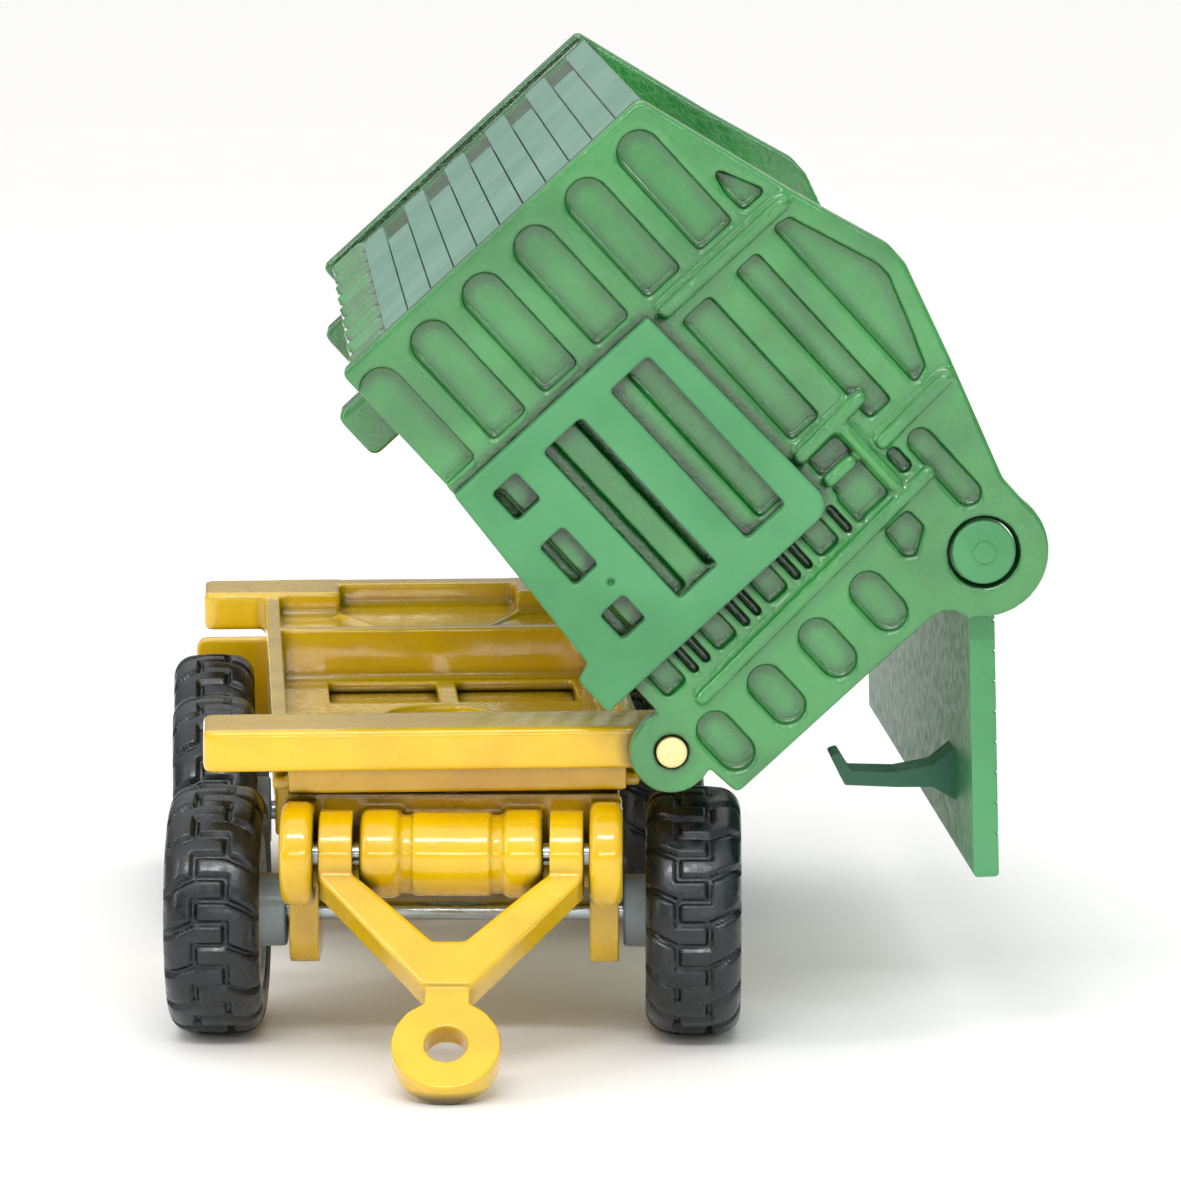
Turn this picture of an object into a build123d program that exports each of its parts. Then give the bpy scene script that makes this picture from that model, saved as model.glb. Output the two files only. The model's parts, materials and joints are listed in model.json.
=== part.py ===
"""Die-cast model of a three-axle side-tipping farm trailer, tipped to its right side.

Everything is modelled level and straight in the chassis frame: X across, Y to the rear from the
front axle, Z up from the ground. The body, flap, bogie and drawbar are then set to the resting
pose: body tipped on its pins, flap hanging, bogie turned a little, towing eye on the ground.
"""
import math
import os

from build123d import *

os.makedirs("parts", exist_ok=True)

# ------------------------------------------------------------------ driving dimensions (mm, degrees)
# Wheels and axles
wheel_dia = 18.0
width_over_tyres = 41.0
front_tyre_width = 6.8
rear_tyre_width = 6.5
rim_dia = 11.2
axle_dia = 1.45
middle_axle_y = 38.3
rear_axle_y = 57.9
running_gap = 0.05          # radial clearance of a shaft that turns
side_gap = 0.3              # between pieces that move past each other

# Chassis
beam_left = 18.0            # from the centre line to the free end of a cross beam
beam_depth = 7.2
beam_height = 3.0
beam_bottom = 20.7
front_beam_y = -8.1         # front face of the front beam
body_length = 72.7          # over the end walls
rail_half_width = 13.1
rail_wall = 1.1
floor_bottom = 18.5
floor_thickness = 0.9
deck_top = 21.9
deck_thickness = 1.0
cross_wall_y = 37.4
cross_wall_thickness = 1.5
underbody_half_width = 12.6
underbody_front_y = 31.0
underbody_rear_y = 64.4
underbody_wall = 1.2
underbody_bottom = 7.6
board_half_width = 18.7
board_top = 17.8
board_bottom = 10.6
board_thickness = 1.3

# Bogie and drawbar
bogie_turn = -4.2
bogie_half_width = 11.8
fork_width = 2.1
fork_bottom = 5.5
hinge_y = -6.8
hinge_z = 14.5
outer_lug_x = 10.9
outer_lug_width = 2.4
outer_lug_radius = 3.7
inner_lug_x = 5.0
inner_lug_width = 3.0
inner_lug_radius = 3.15
barrel_radius = 2.75
hinge_pin_dia = 1.6
arm_x = 8.15
arm_width = 2.45
arm_end_radius = 3.1
arm_thickness = 2.6
arm_straight = 3.0          # from the hinge to the bend of an arm
neck_width = 3.2
neck_start = 12.4           # from the hinge to the end of the fork
crotch = 8.6
eye_distance = 17.3
eye_radius = 3.8
eye_hole_radius = 1.48
eye_thickness = 2.0
kingpin_dia = 3.0

# Tipping body, seen from the pivot: x across the floor, z up the side
tip_angle = 47.5
pivot_x = 14.83
pivot_pin_dia = 2.2
ear_radius = 2.95
body_left = 35.4            # from the pivot to the left edge
body_right = 5.4            # from the pivot to the right edge
side_height = 29.3          # left side, above the pivot
wall_thickness = 1.6
tub_wall = 1.3
tub_inset = 0.5             # left wall lies this far inside the edge of the end walls
floor_above_pivot = 1.7
flap_hinge_x = 4.5
flap_hinge_z = 25.6
lobe_radius = 4.6
flap_pin_dia = 4.5
flap_pin_clearance = 0.08
flap_length = 23.6
flap_thickness = 1.8
flap_lean = 1.6
groove_pitch = 4.85
groove_depth = 0.75
board_count = 11
board_proud = 0.35
grille_thickness = 1.3
grille_left, grille_right = -23.9, -5.3
grille_top = 19.5
grille_foot = -1.3
lug_width = 4.0
lug_depth = 2.8

# ------------------------------------------------------------------ derived places
wheel_r = wheel_dia / 2
axle_r = axle_dia / 2
axle_bore = axle_r + running_gap
beam_top = beam_bottom + beam_height
pivot_z = beam_bottom + beam_height / 2
front_wall_back = front_beam_y - side_gap * 2 / 3
front_wall_face = front_wall_back - wall_thickness
rear_wall_face = front_wall_face + body_length
rear_wall_front = rear_wall_face - wall_thickness
rear_beam_y = rear_wall_front - side_gap * 2 / 3 - beam_depth
floor_top = floor_bottom + floor_thickness
front_beam_back = front_beam_y + beam_depth
rear_beam_back = rear_beam_y + beam_depth
tandem_middle = (middle_axle_y + rear_axle_y) / 2
cover_screw_y = 5.2

chassis_place = Location((0, 0, 0))
body_place = Location((pivot_x, 0, pivot_z), (0, tip_angle, 0))
flap_pin_place = body_place * Location((flap_hinge_x, 0, flap_hinge_z))
flap_place = Location(flap_pin_place.position, (0, -flap_lean, 0))
bogie_place = Location((0, 0, 0), (0, 0, bogie_turn))
reach = eye_distance + eye_radius
drawbar_drop = math.degrees(
    math.asin(hinge_z / math.hypot(reach, eye_thickness / 2)) - math.atan2(eye_thickness / 2, reach)
)
drawbar_place = bogie_place * Location((0, hinge_y, hinge_z), (drawbar_drop, 0, 0))

pieces = []


def block(x, y, z, mode=Mode.ADD):
    """A box between (low, high) pairs along X, Y and Z."""
    with Locations((sum(x) / 2, sum(y) / 2, sum(z) / 2)):
        Box(x[1] - x[0], y[1] - y[0], z[1] - z[0], mode=mode)


def rod_x(x, y, z, radius, mode=Mode.ADD):
    """A cylinder along X between two x values."""
    with Locations(Location((sum(x) / 2, y, z), (0, 90, 0))):
        Cylinder(radius, x[1] - x[0], mode=mode)


def rod_y(x, y, z, radius, mode=Mode.ADD):
    """A cylinder along Y between two y values."""
    with Locations(Location((x, sum(y) / 2, z), (90, 0, 0))):
        Cylinder(radius, y[1] - y[0], mode=mode)


def rod_z(x, y, z, radius, mode=Mode.ADD):
    """A cylinder along Z between two z values."""
    with Locations((x, y, sum(z) / 2)):
        Cylinder(radius, z[1] - z[0], mode=mode)


def across(y):
    """The upright plane at a given y, seen from the front: local x is X, local y is Z."""
    return Plane.XZ.offset(-y)


def keep(part, label, place):
    """Name a finished piece and set it in the resting pose."""
    piece = part.moved(place)
    piece.label = label
    pieces.append(piece)


# ------------------------------------------------------------------ chassis
def cross_beam(y):
    """A cross beam with a round nose about the tipping axis and a rounded free end."""
    corner = 0.8
    with BuildSketch(across(y + beam_depth)) as side:
        with Locations(((pivot_x - beam_left) / 2, pivot_z)):
            Rectangle(pivot_x + beam_left, beam_height)
        with Locations((pivot_x, pivot_z)):
            Circle(beam_height / 2)
    extrude(side.sketch, amount=beam_depth)
    with BuildSketch(Plane.XY.offset(beam_bottom)) as corners:
        with Locations((-beam_left, y), (-beam_left, y + beam_depth)):
            Rectangle(2 * corner, 2 * corner)
        with Locations((-beam_left + corner, y + corner), (-beam_left + corner, y + beam_depth - corner)):
            Circle(corner, mode=Mode.SUBTRACT)
    extrude(corners.sketch, amount=beam_height, mode=Mode.SUBTRACT)


window_y = (27.2, 36.4)
windows = ((-8.4, -0.1), (1.5, 10.5))
trapezoid = ((-7.1, 52.6), (-2.4, 41.0), (2.4, 41.0), (7.1, 52.6))

with BuildPart() as chassis_frame:
    for beam_y in (front_beam_y, rear_beam_y):
        cross_beam(beam_y)
    fillet(chassis_frame.edges().filter_by(Axis.X).group_by(Axis.Z)[-1], 0.4)
    # Front floor plate with its side rails, and the skirt under the front beam
    rail = rail_half_width - rail_wall
    block((-rail_half_width, rail_half_width), (front_beam_back - 2, cross_wall_y), (floor_bottom, floor_top))
    block((-rail, rail), (front_beam_y + 3.5, front_beam_back), (floor_bottom, beam_bottom))
    for side in (-1, 1):
        rail_x = sorted((side * rail, side * rail_half_width))
        block(rail_x, (front_beam_back - 1, rear_beam_y + 1), (floor_bottom, beam_top - 0.3))
    # Cross wall, then the higher deck behind it
    block((-rail, rail), (cross_wall_y, cross_wall_y + cross_wall_thickness), (floor_bottom, beam_top - 0.3))
    deck_z = (deck_top - deck_thickness, deck_top)
    block((-rail_half_width, rail_half_width), (cross_wall_y, rear_beam_y + 1), deck_z)
    # Windows and holes in the floor plate
    for window in windows:
        block(window, window_y, (floor_bottom - 1, floor_top + 1), Mode.SUBTRACT)
    rod_z(-0.4, 22.0, (floor_bottom - 1, floor_top + 1), 3.8, Mode.SUBTRACT)
    rod_z(-7.0, 20.5, (floor_bottom - 1, floor_top + 1), 2.3, Mode.SUBTRACT)
    # Raised ridge on the deck, and the stepped middle of the rear beam
    with BuildSketch(Plane.XY.offset(deck_top)) as ridge:
        with BuildLine():
            Polyline(*trapezoid)
            offset(amount=0.2)
        make_face()
    extrude(amount=0.3)
    block((-11.8, -7.1), (rear_beam_y - 0.4, rear_beam_back - 0.4), (beam_bottom, beam_top + 0.05))
    block((7.1, 11.8), (rear_beam_y - 0.4, rear_beam_back - 0.4), (beam_bottom, beam_top + 0.05))
    block((-7.1, 7.1), (rear_beam_y - 0.1, rear_beam_y + 4.2), (deck_top, beam_top + 0.1), Mode.SUBTRACT)
    # Bores for the body pins and the kingpin boss
    rod_y(pivot_x, (front_beam_y - 1, rear_beam_back + 1), pivot_z, pivot_pin_dia / 2, Mode.SUBTRACT)
    rod_z(0, 0, (floor_bottom, beam_bottom + 1.5), 3.0)
    rod_z(0, 0, (floor_bottom - 0.1, beam_bottom + 1.0), kingpin_dia / 2, Mode.SUBTRACT)
keep(chassis_frame.part, "chassis_frame", chassis_place)

for label, y in (("pivot_pin_front", front_wall_face), ("pivot_pin_rear", rear_wall_face)):
    outward = -1 if y < 0 else 1
    head = y + outward * 0.45
    inner_end = y - outward * (wall_thickness + 5.5)
    with BuildPart() as pivot_pin:
        rod_y(pivot_x, sorted((inner_end, head)), pivot_z, pivot_pin_dia / 2)
        fillet(pivot_pin.faces().sort_by(Axis.Y)[0 if outward < 0 else -1].edges(), 0.3)
    keep(pivot_pin.part, label, chassis_place)

# ------------------------------------------------------------------ rear underbody and light board
with BuildPart() as rear_underbody:
    underbody_top = floor_bottom
    with BuildSketch(Plane.YZ.offset(-underbody_half_width)) as side_profile:
        with BuildLine():
            FilletPolyline(
                (underbody_front_y, underbody_top),
                (underbody_front_y, 15.0),
                (underbody_front_y + 3.6, underbody_bottom),
                (underbody_rear_y - 3.0, underbody_bottom),
                (underbody_rear_y, 13.0),
                (underbody_rear_y, underbody_top),
                radius=1.2,
                close=True,
            )
        make_face()
    extrude(amount=2 * underbody_half_width)
    pocket_half = underbody_half_width - underbody_wall
    pocket_z = (underbody_bottom - 1, underbody_top - 1.2)
    block((-pocket_half, pocket_half), (underbody_front_y + 1.4, tandem_middle - 1), pocket_z, Mode.SUBTRACT)
    block((-pocket_half, pocket_half), (tandem_middle + 1, underbody_rear_y - 1.4), pocket_z, Mode.SUBTRACT)
    for y in (middle_axle_y, rear_axle_y):
        rod_x((-underbody_half_width - 1, underbody_half_width + 1), y, wheel_r, axle_bore, Mode.SUBTRACT)
    # Brackets out to the light board
    for x in (-6.5, 6.5):
        block((x - 1.5, x + 1.5), (underbody_rear_y - 0.5, rear_axle_y + wheel_r + 0.5), (14.0, 16.4))
keep(rear_underbody.part, "rear_underbody", chassis_place)

board_y = rear_axle_y + wheel_r + 0.5
with BuildPart() as rear_light_board:
    with BuildSketch(across(board_y)):
        with Locations((0, (board_top + board_bottom) / 2)):
            RectangleRounded(2 * board_half_width, board_top - board_bottom, 0.9)
    extrude(amount=-board_thickness)
    fillet(rear_light_board.faces().sort_by(Axis.Y)[-1].edges(), 0.3)
    with BuildSketch(across(board_y + board_thickness)):
        for x in (-14.6, 14.6):
            with Locations((x, (board_top + board_bottom) / 2)):
                RectangleRounded(5.4, 4.0, 0.7)
    extrude(amount=0.35, mode=Mode.SUBTRACT)
keep(rear_light_board.part, "rear_light_board", chassis_place)

with BuildPart() as rear_axle_cover:
    cover_z = (underbody_bottom - 0.7, underbody_bottom)
    block((-9.5, 9.5), (underbody_front_y + 5.2, underbody_rear_y - 5.0), cover_z)
    fillet(rear_axle_cover.edges().filter_by(Axis.Z), 1.5)
    for y in (tandem_middle - cover_screw_y, tandem_middle + cover_screw_y):
        rod_z(0, y, (underbody_bottom - 1, underbody_bottom + 1), 0.6, Mode.SUBTRACT)
keep(rear_axle_cover.part, "rear_axle_cover", chassis_place)

with BuildPart() as cover_screws:
    for y in (tandem_middle - cover_screw_y, tandem_middle + cover_screw_y):
        rod_z(0, y, (underbody_bottom - 1.1, underbody_bottom - 0.7), 1.1)
        rod_z(0, y, (underbody_bottom - 0.7, underbody_bottom), 0.55)
keep(cover_screws.part, "cover_screws", chassis_place)

with BuildPart() as kingpin:
    bogie_top = floor_bottom - side_gap
    bogie_plate = 1.8
    head_top = bogie_top - bogie_plate - running_gap
    rod_z(0, 0, (head_top, beam_bottom + 1.0), kingpin_dia / 2)
    rod_z(0, 0, (head_top - 1.0, head_top), kingpin_dia * 0.85)
    fillet(kingpin.faces().sort_by(Axis.Z)[0].edges(), 0.4)
keep(kingpin.part, "kingpin", chassis_place)

# ------------------------------------------------------------------ bogie
fork_x = (bogie_half_width - fork_width, bogie_half_width)

with BuildPart() as bogie_frame:
    # Hinge lugs first, rounded, then the arms that carry them back
    for x, width, radius in (
        (outer_lug_x, outer_lug_width, outer_lug_radius),
        (inner_lug_x, inner_lug_width, inner_lug_radius),
    ):
        for side in (-1, 1):
            rod_x((side * x - width / 2, side * x + width / 2), hinge_y, hinge_z, radius)
    fillet(bogie_frame.edges().filter_by(GeomType.CIRCLE), 0.7)
    plate_z = (bogie_top - bogie_plate, bogie_top)
    wall_y = hinge_y + arm_end_radius + side_gap
    for side in (-1, 1):
        for x, width, radius in (
            (outer_lug_x, outer_lug_width, outer_lug_radius),
            (inner_lug_x, inner_lug_width, inner_lug_radius),
        ):
            lug_x = (side * x - width / 2 + 0.1, side * x + width / 2 - 0.1)
            block(lug_x, (hinge_y + 1.0, wall_y + 1.0), (hinge_z - radius + 0.4, hinge_z + radius - 0.5))
    # Turntable plate and the front wall behind the drawbar
    block((-bogie_half_width, bogie_half_width), (wall_y, 6.0), plate_z)
    block((-fork_x[0], fork_x[0]), (wall_y, wall_y + 1.5), (hinge_z - inner_lug_radius, bogie_top))
    fillet(bogie_frame.edges().filter_by(Axis.Z).group_by(Axis.Y)[-1], 1.5)
    # Axle forks
    for side in (-1, 1):
        with BuildSketch(Plane.YZ.offset(min(side * fork_x[0], side * fork_x[1]))):
            with Locations((0, (fork_bottom + bogie_top) / 2)):
                RectangleRounded(6.4, bogie_top - fork_bottom, 1.9)
        extrude(amount=fork_width)
    rod_x((-bogie_half_width - 1, bogie_half_width + 1), 0, wheel_r, axle_bore, Mode.SUBTRACT)
    # Barrel between the inner lugs, in three steps
    barrel = inner_lug_x - inner_lug_width / 2 + 0.1
    rod_x((-barrel, barrel), hinge_y, hinge_z, barrel_radius)
    rod_x((-barrel + 0.9, barrel - 0.9), hinge_y, hinge_z, barrel_radius + 0.25)
    block((-barrel, barrel), (hinge_y + 1, wall_y + 1), (hinge_z - inner_lug_radius, hinge_z + 2.2))
    # Bores for the drawbar pin and the kingpin
    pin_end = outer_lug_x + outer_lug_width / 2
    rod_x((-pin_end - 1, pin_end + 1), hinge_y, hinge_z, hinge_pin_dia / 2, Mode.SUBTRACT)
    rod_z(0, 0, (plate_z[0] - 0.1, plate_z[1] + 0.1), kingpin_dia / 2 + running_gap, Mode.SUBTRACT)
    rod_z(0, 0, (plate_z[0] - 5, plate_z[0]), kingpin_dia * 0.85 + side_gap, Mode.SUBTRACT)
keep(bogie_frame.part, "bogie_frame", bogie_place)

with BuildPart() as drawbar_pin:
    rod_x((-pin_end, pin_end), hinge_y, hinge_z, hinge_pin_dia / 2)
    fillet(drawbar_pin.edges().filter_by(GeomType.CIRCLE), 0.2)
keep(drawbar_pin.part, "drawbar_pin", bogie_place)

# ------------------------------------------------------------------ drawbar, from its hinge forward
arm_in = arm_x - arm_width / 2
arm_out = arm_x + arm_width / 2
with BuildPart() as drawbar:
    with BuildSketch(Plane.XY.offset(-arm_thickness / 2)):
        with BuildLine():
            Polyline(
                (-arm_out, 0),
                (-arm_out, -arm_straight),
                (-neck_width / 2 - 0.2, -neck_start),
                (neck_width / 2 + 0.2, -neck_start),
                (arm_out, -arm_straight),
                (arm_out, 0),
                (arm_in, 0),
                (arm_in, -arm_straight + 0.4),
                (1.1, -crotch),
                (-1.1, -crotch),
                (-arm_in, -arm_straight + 0.4),
                (-arm_in, 0),
                close=True,
            )
        make_face()
    extrude(amount=arm_thickness)
    fillet(drawbar.edges().filter_by(Axis.Z).group_by(Axis.Y)[1:-1], 0.5)
    fillet(drawbar.faces().sort_by(Axis.Z)[-1].edges().filter_by(Axis.X, reverse=True), 0.3)
    for side in (-1, 1):
        rod_x(sorted((side * arm_in, side * arm_out)), 0, 0, arm_end_radius)
    # Neck and towing eye
    eye_z = (-eye_thickness / 2, eye_thickness / 2)
    block((-neck_width / 2, neck_width / 2), (-eye_distance, -neck_start + 0.5), eye_z)
    rod_z(0, -eye_distance, eye_z, eye_radius)
    rod_z(0, -eye_distance, (eye_z[0] - 1, eye_z[1] + 1), eye_hole_radius, Mode.SUBTRACT)
    hinge_bore = hinge_pin_dia / 2 + running_gap
    rod_x((-arm_out - 1, arm_out + 1), 0, 0, hinge_bore, Mode.SUBTRACT)
keep(drawbar.part, "drawbar", drawbar_place)

# ------------------------------------------------------------------ wheels
def make_axle(name, y, place):
    """An axle wire with chamfered ends."""
    half = width_over_tyres / 2 - 0.9
    with BuildPart() as axle:
        rod_x((-half, half), y, wheel_r, axle_r)
        chamfer(axle.edges().filter_by(GeomType.CIRCLE), 0.15)
    keep(axle.part, name, place)


def make_wheel(name, side, y, width, boss_end, place):
    """A tyre and its rim, on the side given by -1 or 1; the rim's boss reaches in to boss_end."""
    outer = width_over_tyres / 2
    rim_r = rim_dia / 2
    shoulder = (wheel_r - rim_r) / 2
    centre = Plane(origin=(side * outer, y, wheel_r), x_dir=(-side, 0, 0), z_dir=(0, 1, 0))
    with BuildPart() as tyre:
        with BuildSketch(centre) as section:
            with Locations((width / 2, (wheel_r + rim_r) / 2 * side)):
                Rectangle(width, wheel_r - rim_r)
            fillet(section.vertices().group_by(Axis.Y)[0 if side < 0 else -1], shoulder)
        revolve(axis=Axis((0, y, wheel_r), (1, 0, 0)))
    keep(tyre.part, name + "_tyre", place)
    with BuildPart() as rim:
        disc_out = side * (outer - 0.5)
        disc_in = side * (outer - width + 0.4)
        rod_x(sorted((disc_out, disc_in)), y, wheel_r, rim_r)
        dish = sorted((disc_out, disc_out - side * 1.3))
        rod_x(dish, y, wheel_r, rim_r - 0.7, Mode.SUBTRACT)
        rod_x(sorted((disc_in, side * boss_end)), y, wheel_r, 2.6)
        rod_x(sorted((disc_out - side * 1.4, disc_out - side * 0.2)), y, wheel_r, 1.7)
        half = outer - 0.9
        rod_x(sorted((side * half, side * (boss_end - 1))), y, wheel_r, axle_r, Mode.SUBTRACT)
    keep(rim.part, name + "_rim", place)


axle_rows = (
    ("front", 0.0, front_tyre_width, bogie_half_width + side_gap, bogie_place),
    ("middle", middle_axle_y, rear_tyre_width, underbody_half_width + side_gap, chassis_place),
    ("rear", rear_axle_y, rear_tyre_width, underbody_half_width + side_gap, chassis_place),
)
for row, y, width, boss_end, place in axle_rows:
    make_axle(row + "_axle", y, place)
    for side_name, side in (("left", -1), ("right", 1)):
        make_wheel(row + "_" + side_name, side, y, width, boss_end, place)

# ------------------------------------------------------------------ body end walls
# Points are (x, z) from the pivot
slope_left = (-23.4, 32.8)
peak_left = (-16.2, 35.2)
peak_right = (-14.4, 35.2)
slope_right = (-7.2, 33.0)
lobe_top = flap_hinge_z + lobe_radius - 0.1
web_radius = 2.0
web_x = body_right + web_radius
web_z = flap_hinge_z - math.sqrt((lobe_radius + web_radius) ** 2 - (web_x - flap_hinge_x) ** 2)
flap_hole = flap_pin_dia / 2 + flap_pin_clearance
post_x = -23.3
bead_radius = 0.55
pill_height = 3.2
first_pill = 2.5            # middle of the lowest pocket of the left zone
right_first_pill = 3.3      # and of the right zone

eye_pocket = ((-28.6, 29.7), (-24.7, 31.5), (-24.7, 29.3), (-26.5, 29.2))
peak_pocket = (
    (-22.5, 30.0), (-22.3, 31.4), (-15.8, 33.7), (-14.6, 33.8), (-11.1, 32.6), (-8.0, 31.4), (-7.6, 30.0)
)
slope_pocket = ((-5.6, 29.7), (-5.6, 31.3), (-2.6, 30.2), (-2.6, 29.7))
lobe_pocket = ((-1.4, 21.4), (-1.4, 23.7), (0.3, 23.8), (1.5, 21.9), (0.9, 21.2))

beads = (
    ((-6.2, 25.6), (-6.5, 31.8)),
    ((-9.3, 20.6), (-9.6, 26.5)),
    ((-8.6, 24.25), (-3.3, 24.25)),
    ((-1.4, 4.2), (-2.4, 26.5)),
    ((-6.7, 21.1), (-6.7, 23.0)),
)


def wall_outline():
    """Outline of an end wall with its flap lobe and tipping ear, without holes."""
    with BuildLine() as border:
        FilletPolyline(
            (-body_left, 1.2),
            (-body_left, side_height),
            slope_left,
            peak_left,
            peak_right,
            slope_right,
            (flap_hinge_x - 3.0, lobe_top),
            (flap_hinge_x, lobe_top),
            (body_right, flap_hinge_z),
            (body_right, 1.4),
            (3.4, 1.2),
            radius=0.5,
            close=True,
        )
    make_face(border.edges())
    with Locations((web_x - web_radius / 2, (web_z + flap_hinge_z) / 2 - 1)):
        Rectangle(web_radius, flap_hinge_z - web_z - 2)
    with Locations((web_x, web_z)):
        Circle(web_radius, mode=Mode.SUBTRACT)
    with Locations((flap_hinge_x, flap_hinge_z)):
        Circle(lobe_radius)
    Circle(ear_radius)


def groove(x0, x1, z, height):
    """A pill-shaped groove between two x values at height z."""
    with Locations(((x0 + x1) / 2, z)):
        SlotOverall(x1 - x0, height)


def square_groove(x0, x1, z, height):
    """A groove with small corner radii between two x values at height z."""
    with Locations(((x0 + x1) / 2, z)):
        RectangleRounded(x1 - x0, height, 0.35)


def pocket(points):
    """A pocket with the given corners."""
    with BuildLine() as edge:
        FilletPolyline(*points, radius=0.3, close=True)
    make_face(edge.edges())


def wall_grooves():
    """Pockets pressed into the outer face of an end wall."""
    # Left zone: round at the free end, square against the post
    for row in range(6):
        z = first_pill + row * groove_pitch
        groove(-34.2, -27.0, z, pill_height)
        square_groove(-31.0, post_x - 1.4, z, pill_height)
    # Middle zone, partly behind the grille
    for row in range(4):
        square_groove(post_x + 1.3, -8.0, first_pill + row * groove_pitch, pill_height - 0.4)
    square_groove(post_x + 1.3, -10.5, 22.3, 2.7)
    square_groove(post_x + 1.3, -7.9, 27.05, 2.1)
    # Right zone, from the bead to the flap
    for row in range(4):
        z = right_first_pill + row * groove_pitch
        groove(-0.4, body_right - 0.9, z, 2.7)
        square_groove(-5.4, -3.0, z, 1.9)
        with Locations((-4.2, z + groove_pitch / 2 - 0.55), (-4.2, z + groove_pitch / 2 + 0.55)):
            Rectangle(2.4, 0.6)
    square_groove(-8.8, -3.1, 22.2, 2.8)
    square_groove(-5.4, -3.4, 25.6, 1.0)
    groove(-5.3, 1.6, 27.6, 1.9)
    for points in (eye_pocket, peak_pocket, slope_pocket, lobe_pocket):
        pocket(points)


def bead(start, end, y):
    """A half-round bead on a wall face at y, from one (x, z) point to another."""
    run = Vector(end[0] - start[0], 0, end[1] - start[1])
    centre = (start[0] + run.X / 2, y, start[1] + run.Z / 2)
    turn = math.degrees(math.atan2(run.X, run.Z))
    with Locations(Location(centre, (0, turn, 0))):
        Cylinder(bead_radius, run.length)
    for x, z in (start, end):
        with Locations((x, y, z)):
            Sphere(bead_radius)


for label, face_y, outward in (("front_wall", front_wall_face, -1), ("rear_wall", rear_wall_face, 1)):
    post_foot = grille_top + 1.1 if outward < 0 else 3.0
    with BuildPart() as end_wall:
        with BuildSketch(across(face_y)):
            wall_outline()
        extrude(amount=outward * wall_thickness)
        with BuildSketch(across(face_y)):
            wall_grooves()
        extrude(amount=outward * groove_depth, mode=Mode.SUBTRACT)
        for start, end in (((post_x, post_foot), (post_x, 31.6)),) + beads:
            bead(start, end, face_y)
        # Holes for the flap pin and the tipping pin
        hole_y = (face_y - 3, face_y + 3)
        rod_y(flap_hinge_x, hole_y, flap_hinge_z, flap_hole, Mode.SUBTRACT)
        rim_y = sorted((face_y + outward, face_y - outward * 0.45))
        rod_y(flap_hinge_x, rim_y, flap_hinge_z, flap_hole + 0.22, Mode.SUBTRACT)
        rod_y(0, hole_y, 0, pivot_pin_dia / 2 + running_gap, Mode.SUBTRACT)
    keep(end_wall.part, label, body_place)

# ------------------------------------------------------------------ body tub
tub_y = (front_wall_back, rear_wall_front)
tub_left = -body_left + tub_inset
floor_right = flap_hinge_x - flap_thickness / 2 - side_gap
floor_above = floor_above_pivot + tub_wall
corrugations = 9
board_pitch = (side_height - 5.3) / board_count

with BuildPart() as body_tub:
    with BuildSketch(across(tub_y[1])) as tub_section:
        with BuildLine():
            FilletPolyline(
                (tub_left, floor_above_pivot),
                (tub_left, side_height),
                (tub_left + tub_wall, side_height),
                (tub_left + tub_wall, floor_above),
                (floor_right, floor_above),
                (floor_right, floor_above_pivot),
                radius=0.3,
                close=True,
            )
        make_face()
    extrude(amount=tub_y[1] - tub_y[0])
    # Upright ribs along the lower edge of the left wall
    rib_pitch = (tub_y[1] - tub_y[0]) / corrugations
    for i in range(corrugations):
        rod_z(tub_left + 1.2, tub_y[0] + (i + 0.5) * rib_pitch, (floor_above_pivot + 0.2, 5.0), 1.6)
    block((tub_left + tub_wall, 0), tub_y, (floor_above, side_height), Mode.SUBTRACT)
    # Shallow pockets in the underside
    for i in range(6):
        y = tub_y[0] + 12 + i * (tub_y[1] - tub_y[0] - 24) / 5
        dent_z = (floor_above_pivot - 1, floor_above_pivot + 0.35)
        block((-26.0, -3.0), (y - 3.6, y + 3.6), dent_z, Mode.SUBTRACT)
    # Lugs that drop behind the cross beams on the left
    for y in (front_beam_back + side_gap, rear_beam_y - side_gap - lug_depth):
        with BuildSketch(across(y + lug_depth)):
            with Locations((-30.4, floor_above_pivot - 1.4)):
                RectangleRounded(lug_width, 4.2, 0.7)
        extrude(amount=lug_depth)
keep(body_tub.part, "body_tub", body_place)

for label, first, end_gap in (("long_side_boards", 0, 7.2), ("short_side_boards", 1, 19.5)):
    with BuildPart() as side_boards:
        for row in range(first, board_count, 2):
            z = 5.3 + (row + 0.5) * board_pitch
            with BuildSketch(Plane.YZ.offset(tub_left - board_proud)) as board:
                with Locations(((tub_y[0] + tub_y[1] - end_gap) / 2, z)):
                    Rectangle(tub_y[1] - tub_y[0] - end_gap, board_pitch - 0.14)
                fillet(board.vertices().group_by(Axis.Y)[-1], 0.6)
            extrude(amount=board_proud)
    keep(side_boards.part, label, body_place)

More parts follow.
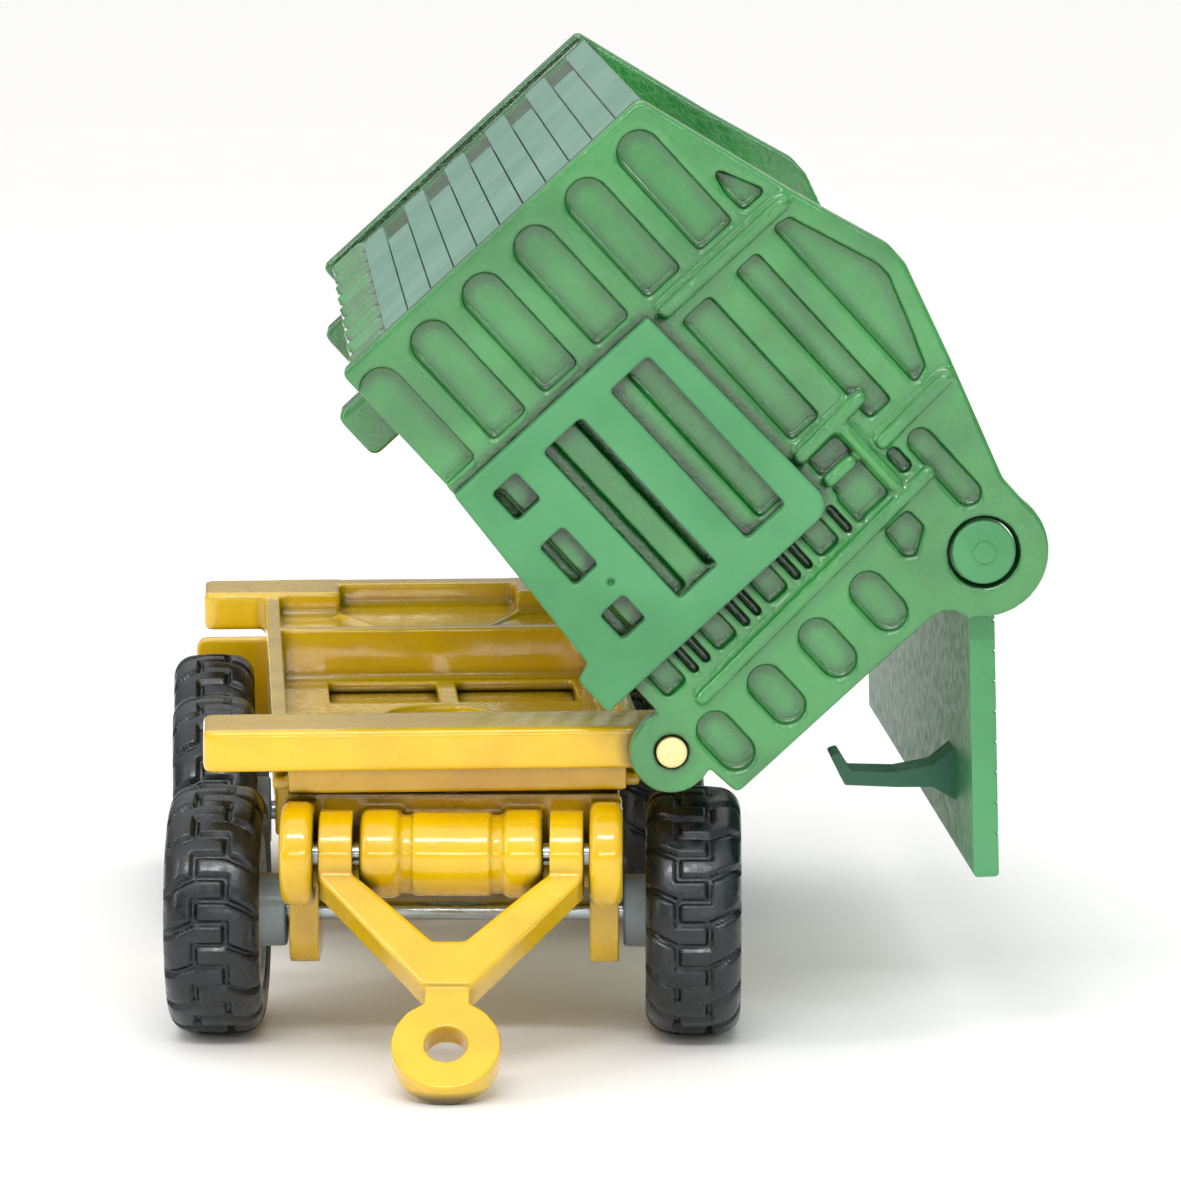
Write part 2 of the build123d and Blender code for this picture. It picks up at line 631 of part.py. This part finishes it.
# ------------------------------------------------------------------ front grille
with BuildPart() as front_grille:
    with BuildSketch(across(front_wall_face)) as frame:
        with BuildLine():
            Polyline(
                (grille_left, 1.2),
                (grille_left, grille_top),
                (grille_right, grille_top + 0.6),
                (grille_right, grille_foot),
                (-8.3, grille_foot),
                (-8.8, 0.0),
                close=True,
            )
        make_face()
        fillet(frame.vertices().group_by(Axis.Y)[-1], 1.5)
        for x0, x1, z0, z1 in (
            (-21.95, -7.7, 14.1, 17.7),
            (-21.95, -7.8, 7.8, 11.4),
            (-22.2, -19.6, 3.2, 5.5),
            (-17.2, -13.5, 3.1, 5.3),
            (-10.8, -8.4, 2.95, 5.15),
        ):
            with Locations(((x0 + x1) / 2, (z0 + z1) / 2)):
                RectangleRounded(x1 - x0, z1 - z0, 0.25, mode=Mode.SUBTRACT)
    extrude(amount=grille_thickness)
    fillet(front_grille.faces().sort_by(Axis.Y)[0].outer_wire().edges(), 0.3)
    rod_y(-12.0, (front_wall_face - grille_thickness - 1, front_wall_face - 0.8), 5.1, 0.28, Mode.SUBTRACT)
keep(front_grille.part, "front_grille", body_place)

# ------------------------------------------------------------------ side flap, hanging from its hinge
flap_y = (front_wall_back + side_gap, rear_wall_front - side_gap)
half_flap = flap_thickness / 2
with BuildPart() as side_flap:
    with BuildSketch(across(flap_y[1])) as flap_section:
        with Locations((0, -flap_length / 2)):
            Rectangle(flap_thickness, flap_length)
        fillet(flap_section.vertices().group_by(Axis.Y)[0], 0.3)
        Circle(1.5)
    extrude(amount=flap_y[1] - flap_y[0])
    # Board joints on the outer face
    for row in range(1, 9):
        z = -3.0 - row * board_pitch
        block((half_flap - 0.2, half_flap + 1), flap_y, (z - 0.09, z + 0.09), Mode.SUBTRACT)
    for y, outward in ((flap_y[0], -1), (flap_y[1], 1)):
        pin_end_y = y + outward * (side_gap + wall_thickness + 0.12)
        rod_y(0, sorted((y - outward * 0.01, pin_end_y)), 0, flap_pin_dia / 2)
    fillet(side_flap.faces().sort_by(Axis.Y)[0].edges(), 0.25)
    fillet(side_flap.faces().sort_by(Axis.Y)[-1].edges(), 0.25)
    # A small pip in the middle of each pin's head
    for y, outward in ((flap_y[0], -1), (flap_y[1], 1)):
        pin_end_y = y + outward * (side_gap + wall_thickness + 0.12)
        rod_y(0, sorted((pin_end_y - outward * 0.5, pin_end_y + outward * 0.15)), 0, flap_pin_dia / 6)
keep(side_flap.part, "side_flap", flap_place)

tongue_y = 4.0
tongue_width = 3.2
tongue_length = 8.3
tongue_z = -17.8
with BuildPart() as flap_tongue:
    with BuildSketch(across(tongue_y + tongue_width / 2)):
        with BuildLine():
            Polyline(
                (-half_flap, tongue_z + 1.6),
                (-half_flap - 1.6, tongue_z + 0.4),
                (-half_flap - 4.2, tongue_z),
                (-half_flap - tongue_length + 0.8, tongue_z + 0.2),
                (-half_flap - tongue_length, tongue_z + 1.6),
                (-half_flap - tongue_length - 0.7, tongue_z + 1.4),
                (-half_flap - tongue_length + 0.3, tongue_z - 0.8),
                (-half_flap - 4.2, tongue_z - 1.1),
                (-half_flap - 1.6, tongue_z - 1.2),
                (-half_flap, tongue_z - 2.2),
                close=True,
            )
        make_face()
    extrude(amount=tongue_width)
    fillet(flap_tongue.edges().filter_by(Axis.Y).group_by(Axis.X)[:-1], 0.2)
keep(flap_tongue.part, "flap_tongue", flap_place)

# ------------------------------------------------------------------ origin and export
# The origin is the middle of the whole model's box, on the ground.
boxes = [piece.bounding_box() for piece in pieces]
low = [min(getattr(box.min, axis) for box in boxes) for axis in "XYZ"]
high = [max(getattr(box.max, axis) for box in boxes) for axis in "XYZ"]
origin = Location((-(low[0] + high[0]) / 2, -(low[1] + high[1]) / 2, -low[2]))
for piece in pieces:
    placed = piece.moved(origin)
    placed.label = piece.label
    export_step(placed, "parts/" + piece.label + ".step")
print("box", [round(high[i] - low[i], 3) for i in range(3)], "origin", [round(v, 4) for v in origin.position])
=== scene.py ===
"""Looks of the die-cast side-tipping farm trailer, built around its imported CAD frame. Metres."""
import json
import math

import bmesh
import bpy
import numpy as np
from mathutils import Matrix, Vector


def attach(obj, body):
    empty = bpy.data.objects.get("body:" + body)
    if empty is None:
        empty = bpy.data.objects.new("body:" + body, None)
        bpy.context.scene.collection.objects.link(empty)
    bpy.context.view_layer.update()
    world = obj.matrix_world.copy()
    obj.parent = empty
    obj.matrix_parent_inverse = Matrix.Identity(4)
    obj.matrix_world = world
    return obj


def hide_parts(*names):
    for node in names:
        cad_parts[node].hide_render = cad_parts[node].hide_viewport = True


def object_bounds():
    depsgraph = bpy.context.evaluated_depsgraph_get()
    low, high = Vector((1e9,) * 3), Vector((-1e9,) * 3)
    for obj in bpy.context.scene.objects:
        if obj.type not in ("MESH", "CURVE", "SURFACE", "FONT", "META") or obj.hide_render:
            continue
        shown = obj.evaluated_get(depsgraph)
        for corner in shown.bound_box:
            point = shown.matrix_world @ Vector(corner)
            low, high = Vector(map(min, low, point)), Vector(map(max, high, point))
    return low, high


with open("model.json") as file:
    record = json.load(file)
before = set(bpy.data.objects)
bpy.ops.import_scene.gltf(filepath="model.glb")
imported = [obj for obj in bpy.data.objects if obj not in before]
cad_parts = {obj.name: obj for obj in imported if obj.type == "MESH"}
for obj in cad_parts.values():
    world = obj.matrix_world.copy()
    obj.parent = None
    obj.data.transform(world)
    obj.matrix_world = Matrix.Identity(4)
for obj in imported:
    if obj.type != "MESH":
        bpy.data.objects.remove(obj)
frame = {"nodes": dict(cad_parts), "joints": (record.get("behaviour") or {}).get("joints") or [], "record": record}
cad_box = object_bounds()

MM = 0.001
joints = {joint["name"]: joint for joint in frame["joints"]}
bodies = frame["record"]["behaviour"]["bodies"]
body_of_node = {node: body for body, nodes in bodies.items() for node in nodes}
tip_down = math.radians(joints["body_tip"]["range_deg"][0])
steer_axis = Vector(joints["front_spin"]["axis"])
steer_turn = math.atan2(steer_axis.y, steer_axis.x)


# ---------------------------------------------------------------- materials
ENAMEL_IOR = 1.5
COAT_ROUGHNESS = 0.08
# painted shade: these set how far and how strongly the enamel's colour is darkened in corners and recesses
PAINTED_SHADE_SAMPLES = 6
PAINTED_SHADE_REACH = 1.1 * MM  # how near a facing wall has to be to darken a corner
PAINTED_SHADE_DARKNESS = 0.12  # share of the deep colour that is left in the tightest corner


def new_material(name):
    """An empty node material with its Principled shader and object coordinates."""
    material = bpy.data.materials.new(name)
    material.use_nodes = True
    tree = material.node_tree
    shader = tree.nodes["Principled BSDF"]
    place = tree.nodes.new("ShaderNodeTexCoord")
    return material, tree, shader, place.outputs["Object"]


def noise(tree, place, size, detail=3.0, roughness=0.5):
    """Noise between 0 and 1 whose features are about size metres across."""
    node = tree.nodes.new("ShaderNodeTexNoise")
    node.inputs["Scale"].default_value = 1.0 / size
    node.inputs["Detail"].default_value = detail
    node.inputs["Roughness"].default_value = roughness
    tree.links.new(place, node.inputs["Vector"])
    return node.outputs["Fac"]


def ramp(tree, value, low, high, start, end):
    """Maps a value between start and end to a number between low and high."""
    node = tree.nodes.new("ShaderNodeMapRange")
    node.inputs["From Min"].default_value = start
    node.inputs["From Max"].default_value = end
    node.inputs["To Min"].default_value = low
    node.inputs["To Max"].default_value = high
    tree.links.new(value, node.inputs["Value"])
    return node.outputs["Result"]


def blend_colours(tree, value, first, second):
    """A colour between first and second by value."""
    node = tree.nodes.new("ShaderNodeMix")
    node.data_type = "RGBA"
    node.inputs["A"].default_value = (*first, 1)
    node.inputs["B"].default_value = (*second, 1)
    tree.links.new(value, node.inputs["Factor"])
    return node.outputs["Result"]


def add_bump(tree, shader, layers):
    """Chains bumps given as (height, depth in metres) or (height, depth, strength)."""
    normal = None
    for height, depth, *strength in layers:
        node = tree.nodes.new("ShaderNodeBump")
        node.inputs["Distance"].default_value = depth
        tree.links.new(height, node.inputs["Height"])
        if strength:
            tree.links.new(strength[0], node.inputs["Strength"])
        if normal:
            tree.links.new(normal, node.inputs["Normal"])
        normal = node.outputs["Normal"]
    tree.links.new(normal, shader.inputs["Normal"])


def enamel(name, light, deep, rough, coat, gloss, peel, grain, pitted):
    """Thick glossy enamel over a die casting, pitted in its corners, with painted shade darkening its colour
    there.

    rough is the roughness of the colour, coat the weight of the clear layer over it and gloss
    that layer's refractive index. peel, grain and pitted are the depths in metres of the
    orange peel, the casting's grain and the pits in corners.
    """
    material, tree, shader, place = new_material(name)
    pooled = ramp(tree, noise(tree, place, 6 * MM, 2.0), 0.0, 1.0, 0.35, 0.65)
    # painted shade: ambient occlusion darkens the colour in corners and recesses, down to a dark copy of the deep
    # colour
    corners = tree.nodes.new("ShaderNodeAmbientOcclusion")
    corners.samples = PAINTED_SHADE_SAMPLES
    corners.inputs["Distance"].default_value = PAINTED_SHADE_REACH
    tree.links.new(blend_colours(tree, pooled, light, deep), corners.inputs["Color"])
    openness = corners.outputs["AO"]
    shade = tree.nodes.new("ShaderNodeMix")
    shade.data_type = "RGBA"
    shade.inputs["A"].default_value = (*(channel * PAINTED_SHADE_DARKNESS for channel in deep), 1)
    tree.links.new(corners.outputs["Color"], shade.inputs["B"])
    tree.links.new(ramp(tree, openness, 0.0, 1.0, 0.35, 0.9), shade.inputs["Factor"])
    tree.links.new(shade.outputs["Result"], shader.inputs["Base Color"])
    cloudy = ramp(tree, noise(tree, place, 1.5 * MM), rough * 0.7, rough * 1.5, 0.35, 0.65)
    tree.links.new(cloudy, shader.inputs["Roughness"])
    shader.inputs["Coat Weight"].default_value = coat
    shader.inputs["Coat Roughness"].default_value = COAT_ROUGHNESS
    shader.inputs["Coat IOR"].default_value = gloss
    shader.inputs["IOR"].default_value = ENAMEL_IOR
    pits = noise(tree, place, 0.42 * MM, 2.0, 0.6)
    in_corners = ramp(tree, openness, 1.0, 0.0, 0.55, 0.95)
    add_bump(tree, shader, (
        (noise(tree, place, 1.1 * MM, 2.0), peel),
        (noise(tree, place, 0.3 * MM, 2.0, 0.6), grain),
        (pits, pitted, in_corners),
    ))
    return material


def moulded(name, light, deep, rough, grain):
    """Satin moulded plastic with a fine spark-eroded grain and faint flow marks."""
    material, tree, shader, place = new_material(name)
    flow = ramp(tree, noise(tree, place, 9 * MM, 4.0), 0.0, 1.0, 0.38, 0.62)
    tree.links.new(blend_colours(tree, flow, light, deep), shader.inputs["Base Color"])
    worn = ramp(tree, noise(tree, place, 0.9 * MM), rough * 0.85, rough * 1.2, 0.35, 0.65)
    tree.links.new(worn, shader.inputs["Roughness"])
    add_bump(tree, shader, (
        (noise(tree, place, 2.5 * MM, 2.0), grain * 1.5),
        (noise(tree, place, 0.16 * MM, 2.0, 0.7), grain),
    ))
    return material


def rubber(name):
    """Moulded tyre rubber: blue-black and a little dusty, with a faint uneven shine."""
    material, tree, shader, place = new_material(name)
    dust = ramp(tree, noise(tree, place, 1.8 * MM, 4.0), 0.0, 1.0, 0.42, 0.68)
    tint = blend_colours(tree, dust, (0.003, 0.006, 0.008), (0.008, 0.014, 0.017))
    tree.links.new(tint, shader.inputs["Base Color"])
    shine = ramp(tree, noise(tree, place, 0.7 * MM, 3.0), 0.22, 0.42, 0.35, 0.65)
    tree.links.new(shine, shader.inputs["Roughness"])
    shader.inputs["Specular IOR Level"].default_value = 0.6
    add_bump(tree, shader, (
        (noise(tree, place, 0.8 * MM, 3.0), 0.02 * MM),
        (noise(tree, place, 0.15 * MM, 2.0), 0.006 * MM),
    ))
    return material


def drawn_steel(name, tint, rough):
    """Drawn steel wire: fine marks along X, with small changes of shine."""
    material, tree, shader, place = new_material(name)
    stretch = tree.nodes.new("ShaderNodeMapping")
    stretch.inputs["Scale"].default_value = (0.05, 1.0, 1.0)
    tree.links.new(place, stretch.inputs["Vector"])
    marks = noise(tree, stretch.outputs["Vector"], 0.12 * MM, 3.0)
    tone = ramp(tree, marks, 0.0, 1.0, 0.3, 0.7)
    darker = tuple(channel * 0.75 for channel in tint)
    tree.links.new(blend_colours(tree, tone, darker, tint), shader.inputs["Base Color"])
    shader.inputs["Metallic"].default_value = 1.0
    tree.links.new(ramp(tree, marks, rough * 0.7, rough * 1.4, 0.3, 0.7), shader.inputs["Roughness"])
    add_bump(tree, shader, ((marks, 0.004 * MM),))
    return material


material_of_slot = {
    "yellow_paint": enamel(
        "yellow_enamel", light=(0.84, 0.53, 0.001), deep=(0.72, 0.43, 0.001),
        rough=0.2, coat=0.8, gloss=1.5,
        peel=0.04 * MM, grain=0.012 * MM, pitted=0.08 * MM,
    ),
    "green_paint": enamel(
        "green_enamel", light=(0.032, 0.27, 0.05), deep=(0.018, 0.185, 0.032),
        rough=0.16, coat=1.0, gloss=1.6,
        peel=0.2 * MM, grain=0.07 * MM, pitted=0.4 * MM,
    ),
    "green_plastic": moulded(
        "green_plastic", light=(0.08, 0.32, 0.125), deep=(0.06, 0.26, 0.095),
        rough=0.38, grain=0.02 * MM,
    ),
    # painted shade: a darker copy of the flap's green plastic for the tongue, which sits in shade
    "dark_green_plastic": moulded(
        "dark_green_plastic", light=(0.03, 0.17, 0.09), deep=(0.02, 0.13, 0.07),
        rough=0.35, grain=0.01 * MM,
    ),
    # painted reflection: the side boards' matte grey-green stands in for the pale sheen that the glossy green side
    # wall reflects at a grazing view
    "board_plastic": moulded(
        "side_board_painted_reflection", light=(0.19, 0.34, 0.27), deep=(0.15, 0.29, 0.22),
        rough=0.6, grain=0.012 * MM,
    ),
    "rim": moulded(
        "rim_plastic", light=(0.30, 0.36, 0.39), deep=(0.24, 0.30, 0.33),
        rough=0.3, grain=0.008 * MM,
    ),
    "rivet": enamel(
        "rivet_enamel", light=(0.90, 0.75, 0.36), deep=(0.84, 0.66, 0.26),
        rough=0.25, coat=0.2, gloss=1.5,
        peel=0.02 * MM, grain=0.006 * MM, pitted=0.02 * MM,
    ),
    "steel": drawn_steel("drawn_steel", tint=(0.52, 0.60, 0.65), rough=0.22),
    "tyre": rubber("tyre_rubber"),
}
slot_of_node = {row["node"]: row["material_slot"] for row in frame["record"]["subparts"]}


def dress(obj, slot):
    """Gives an object the material of a record slot."""
    obj.data.materials.clear()
    obj.data.materials.append(material_of_slot[slot])


for node, cad_object in frame["nodes"].items():
    for holder in cad_object.material_slots:
        holder.material = material_of_slot[slot_of_node[node]]


# ---------------------------------------------------------------- soft-edged castings
WELD_DISTANCE = 0.001 * MM
SMOOTH_FACTOR = 0.5
KEEP_RATIO = 0.35  # share of the remeshed triangles that is kept


def apply_modifiers(obj):
    """Puts the result of an object's modifiers into its mesh."""
    depsgraph = bpy.context.evaluated_depsgraph_get()
    depsgraph.update()
    mesh = bpy.data.meshes.new_from_object(obj.evaluated_get(depsgraph))
    obj.modifiers.clear()
    obj.data = mesh


def add_object(name, mesh):
    """A new object in the scene."""
    obj = bpy.data.objects.new(name, mesh)
    bpy.context.scene.collection.objects.link(obj)
    return obj


def finish_piece(obj, node):
    """A piece that stands for a CAD node: same body, same slot."""
    slot = slot_of_node[node]
    dress(obj, slot)
    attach(obj, body_of_node[node])
    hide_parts(node)


def soften(node, voxel, passes, level):
    """Rebuilds a casting with the soft, paint-filled edges that its mould and enamel give it.

    voxel is the remesh size and passes the number of smoothing passes. level turns the piece
    so that its walls stand square while it is remeshed.
    """
    source = frame["nodes"][node]
    mesh = source.data.copy()
    mesh.transform(source.matrix_world)
    mesh.transform(level)
    welded = bmesh.new()
    welded.from_mesh(mesh)
    bmesh.ops.remove_doubles(welded, verts=welded.verts, dist=WELD_DISTANCE)
    welded.to_mesh(mesh)
    welded.free()
    piece = add_object(node + "_casting", mesh)
    remesh = piece.modifiers.new("remesh", "REMESH")
    remesh.mode = "VOXEL"
    remesh.voxel_size = voxel
    smooth = piece.modifiers.new("smooth", "SMOOTH")
    smooth.factor = SMOOTH_FACTOR
    smooth.iterations = passes
    decimate = piece.modifiers.new("decimate", "DECIMATE")
    decimate.ratio = KEEP_RATIO
    apply_modifiers(piece)
    piece.data.transform(level.inverted())
    piece.data.polygons.foreach_set("use_smooth", [True] * len(piece.data.polygons))
    finish_piece(piece, node)


level_body = Matrix.Rotation(tip_down, 4, "Y")
level_bogie = Matrix.Rotation(-steer_turn, 4, "Z")
as_it_stands = Matrix.Identity(4)

for node, voxel, passes, level in (
    ("front_wall", 0.13 * MM, 14, level_body),
    ("rear_wall", 0.20 * MM, 3, level_body),
    ("front_grille", 0.14 * MM, 4, level_body),
    ("body_tub", 0.24 * MM, 3, level_body),
    ("chassis_frame", 0.20 * MM, 4, as_it_stands),
    ("bogie_frame", 0.13 * MM, 4, level_bogie),
    ("drawbar", 0.13 * MM, 4, level_bogie),
    ("rear_underbody", 0.22 * MM, 3, as_it_stands),
    ("rear_light_board", 0.18 * MM, 3, as_it_stands),
):
    soften(node, voxel, passes, level)


# ---------------------------------------------------------------- wheels
TREAD_PITCHES = 17
STEPS_PER_PITCH = 22
TREAD_DEPTH = 0.42 * MM
GROOVE_HALF_WIDTH = 0.2 * MM
CROWN_STEPS = 13
SHOULDER_STEPS = 8
SIDE_STEPS = 8
RIM_STEPS = 96


def wheel_place(node, joint):
    """Centre, outward axis, half width, inner and outer radius of a CAD piece on an axle."""
    axis = Vector(joint["axis"]).normalized()
    pivot = Vector(joint["pos_m"])
    points = [vertex.co - pivot for vertex in frame["nodes"][node].data.vertices]
    along = [point.dot(axis) for point in points]
    radii = [(point - axis * a).length for point, a in zip(points, along)]
    middle = (min(along) + max(along)) / 2
    if middle < 0:
        axis = -axis
    return pivot + axis * abs(middle), axis, (max(along) - min(along)) / 2, min(radii), max(radii)


def tread_distance(across, along, pitch, tongue, reach):
    """Distance from the nearest tread groove, in the unrolled tread plane.

    A square wave runs round the crown, tongue to either side of its middle, and a slanting
    groove leaves it once on either side in every pitch, as far out as reach.
    """
    half = pitch / 2
    lean = 0.42 * pitch
    path = (
        ((-tongue, 0), (tongue, 0)),
        ((tongue, 0), (tongue, half)),
        ((tongue, half), (-tongue, half)),
        ((-tongue, half), (-tongue, pitch)),
        ((tongue, 0), (reach, -lean)),
        ((-tongue, half), (-reach, half - lean)),
    )
    nearest = np.full(across.shape, np.inf)
    for shift in (-pitch, 0, pitch):
        for (x0, y0), (x1, y1) in path:
            dx, dy = x1 - x0, y1 - y0
            t = ((across - x0) * dx + (along - y0 - shift) * dy) / (dx * dx + dy * dy)
            t = np.clip(t, 0, 1)
            gap = np.hypot(across - x0 - t * dx, along - y0 - shift - t * dy)
            nearest = np.minimum(nearest, gap)
    return nearest


def tyre_profile(half, inner, outer):
    """Points (across, radius) of half a tyre section, from the crown's middle to the bead."""
    shoulder = 1.7 * MM
    crown_drop = 0.12 * MM
    side_taper = 0.35 * MM
    ring_depth = 0.08 * MM
    bead = 1.1 * MM
    points = []
    for i in range(CROWN_STEPS + 1):
        x = (half - shoulder) * i / CROWN_STEPS
        points.append((x, outer - crown_drop * (i / CROWN_STEPS) ** 2))
    for i in range(1, SHOULDER_STEPS + 1):
        turn = math.pi / 2 * i / SHOULDER_STEPS
        points.append((
            half - shoulder + shoulder * math.sin(turn),
            outer - crown_drop - shoulder * (1 - math.cos(turn)),
        ))
    side_top = outer - crown_drop - shoulder
    for i in range(1, SIDE_STEPS + 1):
        share = i / SIDE_STEPS
        taper = side_taper * share ** 2
        ring = ring_depth if i in (3, 6) else 0.0
        points.append((half - taper - ring, side_top + (inner - side_top) * share))
    points.append((half - bead, inner))
    return points


def lathe_faces(rings, count):
    """Quads between neighbouring rings of count points each; the last ring meets the first."""
    faces = []
    for ring in range(rings):
        here = ring * count
        there = (ring + 1) % rings * count
        for i in range(count):
            j = (i + 1) % count
            faces.append((here + i, here + j, there + j, there + i))
    return faces


def turned_mesh(name, centre, axis, across, radii):
    """A closed lathe mesh: across and radii are arrays of (ring, step) about the axle axis."""
    up = (Vector((0, 0, 1)) - axis * axis.z).normalized()
    forward = axis.cross(up)
    rings, count = radii.shape
    turn = np.arange(count) * 2 * np.pi / count
    cos, sin = np.cos(turn), np.sin(turn)
    points = (
        np.array(centre)
        + across[..., None] * np.array(axis)
        + (radii * cos)[..., None] * np.array(up)
        + (radii * sin)[..., None] * np.array(forward)
    )
    mesh = bpy.data.meshes.new(name)
    mesh.from_pydata(points.reshape(-1, 3).tolist(), [], lathe_faces(rings, count))
    mesh.update()
    fixed = bmesh.new()
    fixed.from_mesh(mesh)
    bmesh.ops.recalc_face_normals(fixed, faces=fixed.faces)
    fixed.to_mesh(mesh)
    fixed.free()
    mesh.polygons.foreach_set("use_smooth", [True] * len(mesh.polygons))
    return mesh


def make_tyre(node, joint):
    """A tyre with an interlocking tread pressed into its crown and shoulders."""
    centre, axis, half, inner, outer = wheel_place(node, joint)
    steps = TREAD_PITCHES * STEPS_PER_PITCH
    right = tyre_profile(half, inner, outer)
    outline = np.array([(-x, r) for x, r in reversed(right[1:])] + right)
    # lengths: distance along the outline from the crown's middle
    lengths = np.concatenate(([0], np.cumsum(np.hypot(*np.diff(outline, axis=0).T))))
    lengths -= lengths[len(right) - 1]
    tangent = np.gradient(outline, axis=0)
    normal = np.stack((-tangent[:, 1], tangent[:, 0]), 1)
    normal /= np.linalg.norm(normal, axis=1)[:, None]
    pitch = 2 * math.pi * outer / TREAD_PITCHES
    along = (np.arange(steps) * (2 * math.pi * outer / steps)) % pitch
    across_grid, along_grid = np.meshgrid(lengths, along, indexing="ij")
    tongue = 0.34 * half
    reach = half + 0.9 * MM
    gap = tread_distance(across_grid, along_grid, pitch, tongue, reach)
    # The groove's walls slope, and it runs out at the end of its reach
    slope = GROOVE_HALF_WIDTH * 0.9
    run_out = 0.5 * MM
    cut = np.clip((GROOVE_HALF_WIDTH * 1.6 - gap) / slope, 0, 1)
    cut = cut * cut * (3 - 2 * cut)
    fade = np.clip((reach - np.abs(across_grid)) / run_out, 0, 1)
    depth = TREAD_DEPTH * cut * fade
    across = outline[:, 0][:, None] - normal[:, 0][:, None] * depth
    radii = outline[:, 1][:, None] - normal[:, 1][:, None] * depth
    piece = add_object(node + "_rubber", turned_mesh(node, centre, axis, across, radii))
    finish_piece(piece, node)


def make_rim(node, tyre_node, joint):
    """A dished rim with a rolled lip, a raised hub and a stepped inner boss."""
    centre, axis, half, inner, _ = wheel_place(tyre_node, joint)
    hub_centre, _, hub_half, _, _ = wheel_place(node, joint)
    boss = (hub_centre - centre).dot(axis) - hub_half
    lip = half - 0.45 * MM
    seat = inner - 0.02 * MM
    back = -half + 0.4 * MM
    dish = lip - 1.3 * MM
    face = lip - 0.2 * MM
    bore = 0.9 * MM
    outline = np.array((
        # stepped boss towards the axle
        (back, bore),
        (boss + 0.15 * MM, bore),
        (boss, 1.1 * MM),
        (boss, 2.45 * MM),
        (boss + 0.15 * MM, 2.6 * MM),
        (back, 2.65 * MM),
        # back of the disc and the seat of the tyre
        (-half + 0.55 * MM, 3.0 * MM),
        (-half + 0.5 * MM, 4.6 * MM),
        (-half + 0.25 * MM, 5.0 * MM),
        (-half + 0.25 * MM, seat),
        # rolled lip
        (lip - 0.15 * MM, seat),
        (lip, seat - 0.12 * MM),
        (lip, seat - 0.55 * MM),
        (face, seat - 0.75 * MM),
        # dish and raised hub
        (lip - 1.1 * MM, seat - 1.0 * MM),
        (dish, seat - 1.4 * MM),
        (dish, 2.5 * MM),
        (lip - 1.1 * MM, 2.1 * MM),
        (lip - 0.35 * MM, 1.8 * MM),
        (face, 1.6 * MM),
        (face, 0.75 * MM),
    ))
    across = np.repeat(outline[:, :1], RIM_STEPS, axis=1)
    radii = np.repeat(outline[:, 1:], RIM_STEPS, axis=1)
    piece = add_object(node + "_dish", turned_mesh(node, centre, axis, across, radii))
    bevel = piece.modifiers.new("bevel", "BEVEL")
    bevel.width = 0.06 * MM
    bevel.segments = 2
    bevel.limit_method = "ANGLE"
    bevel.angle_limit = math.radians(30)
    apply_modifiers(piece)
    finish_piece(piece, node)


for row in ("front", "middle", "rear"):
    spin = joints[row + "_spin"]
    for side in ("left", "right"):
        tyre_node = f"{row}_{side}_tyre"
        make_tyre(tyre_node, spin)
        make_rim(f"{row}_{side}_rim", tyre_node, spin)


# ---------------------------------------------------------------- floor, light and camera
low, high = (Vector(corner) for corner in cad_box)
middle = (low + high) / 2


def make_floor():
    """A plain pale floor, wide enough to fill the view."""
    bpy.ops.mesh.primitive_plane_add(size=6, location=(middle.x, middle.y, low.z))
    floor = bpy.context.object
    floor.name = "floor"
    material, _, shader, _ = new_material("floor")
    shader.inputs["Base Color"].default_value = (0.94, 0.935, 0.925, 1)
    shader.inputs["Roughness"].default_value = 1.0
    shader.inputs["Specular IOR Level"].default_value = 0.0
    floor.data.materials.append(material)


def area_light(name, offset, size, power):
    """A soft box at an offset from the object's middle, aimed at it."""
    light = bpy.data.lights.new(name, "AREA")
    light.shape = "RECTANGLE"
    light.size, light.size_y = size
    light.energy = power
    lamp = bpy.data.objects.new(name, light)
    lamp.location = middle + Vector(offset)
    lamp.rotation_euler = (-Vector(offset)).to_track_quat("-Z", "Y").to_euler()
    bpy.context.scene.collection.objects.link(lamp)


def make_light():
    """A white room, brighter overhead than at the horizon, with four narrow soft boxes."""
    world = bpy.data.worlds.new("room")
    world.use_nodes = True
    tree = world.node_tree
    place = tree.nodes.new("ShaderNodeTexCoord")
    split = tree.nodes.new("ShaderNodeSeparateXYZ")
    tree.links.new(place.outputs["Generated"], split.inputs["Vector"])
    background = tree.nodes["Background"]
    brightness = ramp(tree, split.outputs["Z"], 0.12, 1.35, 0.0, 0.9)
    tree.links.new(brightness, background.inputs["Strength"])
    background.inputs["Color"].default_value = (1, 1, 1, 1)
    bpy.context.scene.world = world
    area_light("top_box", (-0.06, -0.36, 0.36), (0.30, 0.04), 0.9)
    area_light("left_strip", (-0.42, -0.22, 0.20), (0.02, 0.30), 0.4)
    area_light("front_strip", (0.04, -0.62, 0.10), (0.40, 0.012), 0.35)
    area_light("back_strip", (0.38, 0.25, 0.25), (0.04, 0.25), 0.3)


def make_camera():
    """The camera stands in front, a little to the left and above, with a long lens.

    Its place and aim make the trailer fill the square view as it does in the photograph.
    """
    camera = bpy.data.cameras.new("camera")
    camera.lens = 182.8
    camera.sensor_width = 36
    camera.clip_start = 0.01
    viewer = bpy.data.objects.new("camera", camera)
    viewer.location = (-0.02671, -0.44543, 0.09909)
    looks_along = Vector((0.06125, 0.98585, -0.15603))
    viewer.rotation_euler = looks_along.to_track_quat("-Z", "Y").to_euler()
    bpy.context.scene.collection.objects.link(viewer)
    bpy.context.scene.camera = viewer


make_floor()
make_light()
make_camera()
bpy.context.scene.view_settings.view_transform = "Standard"
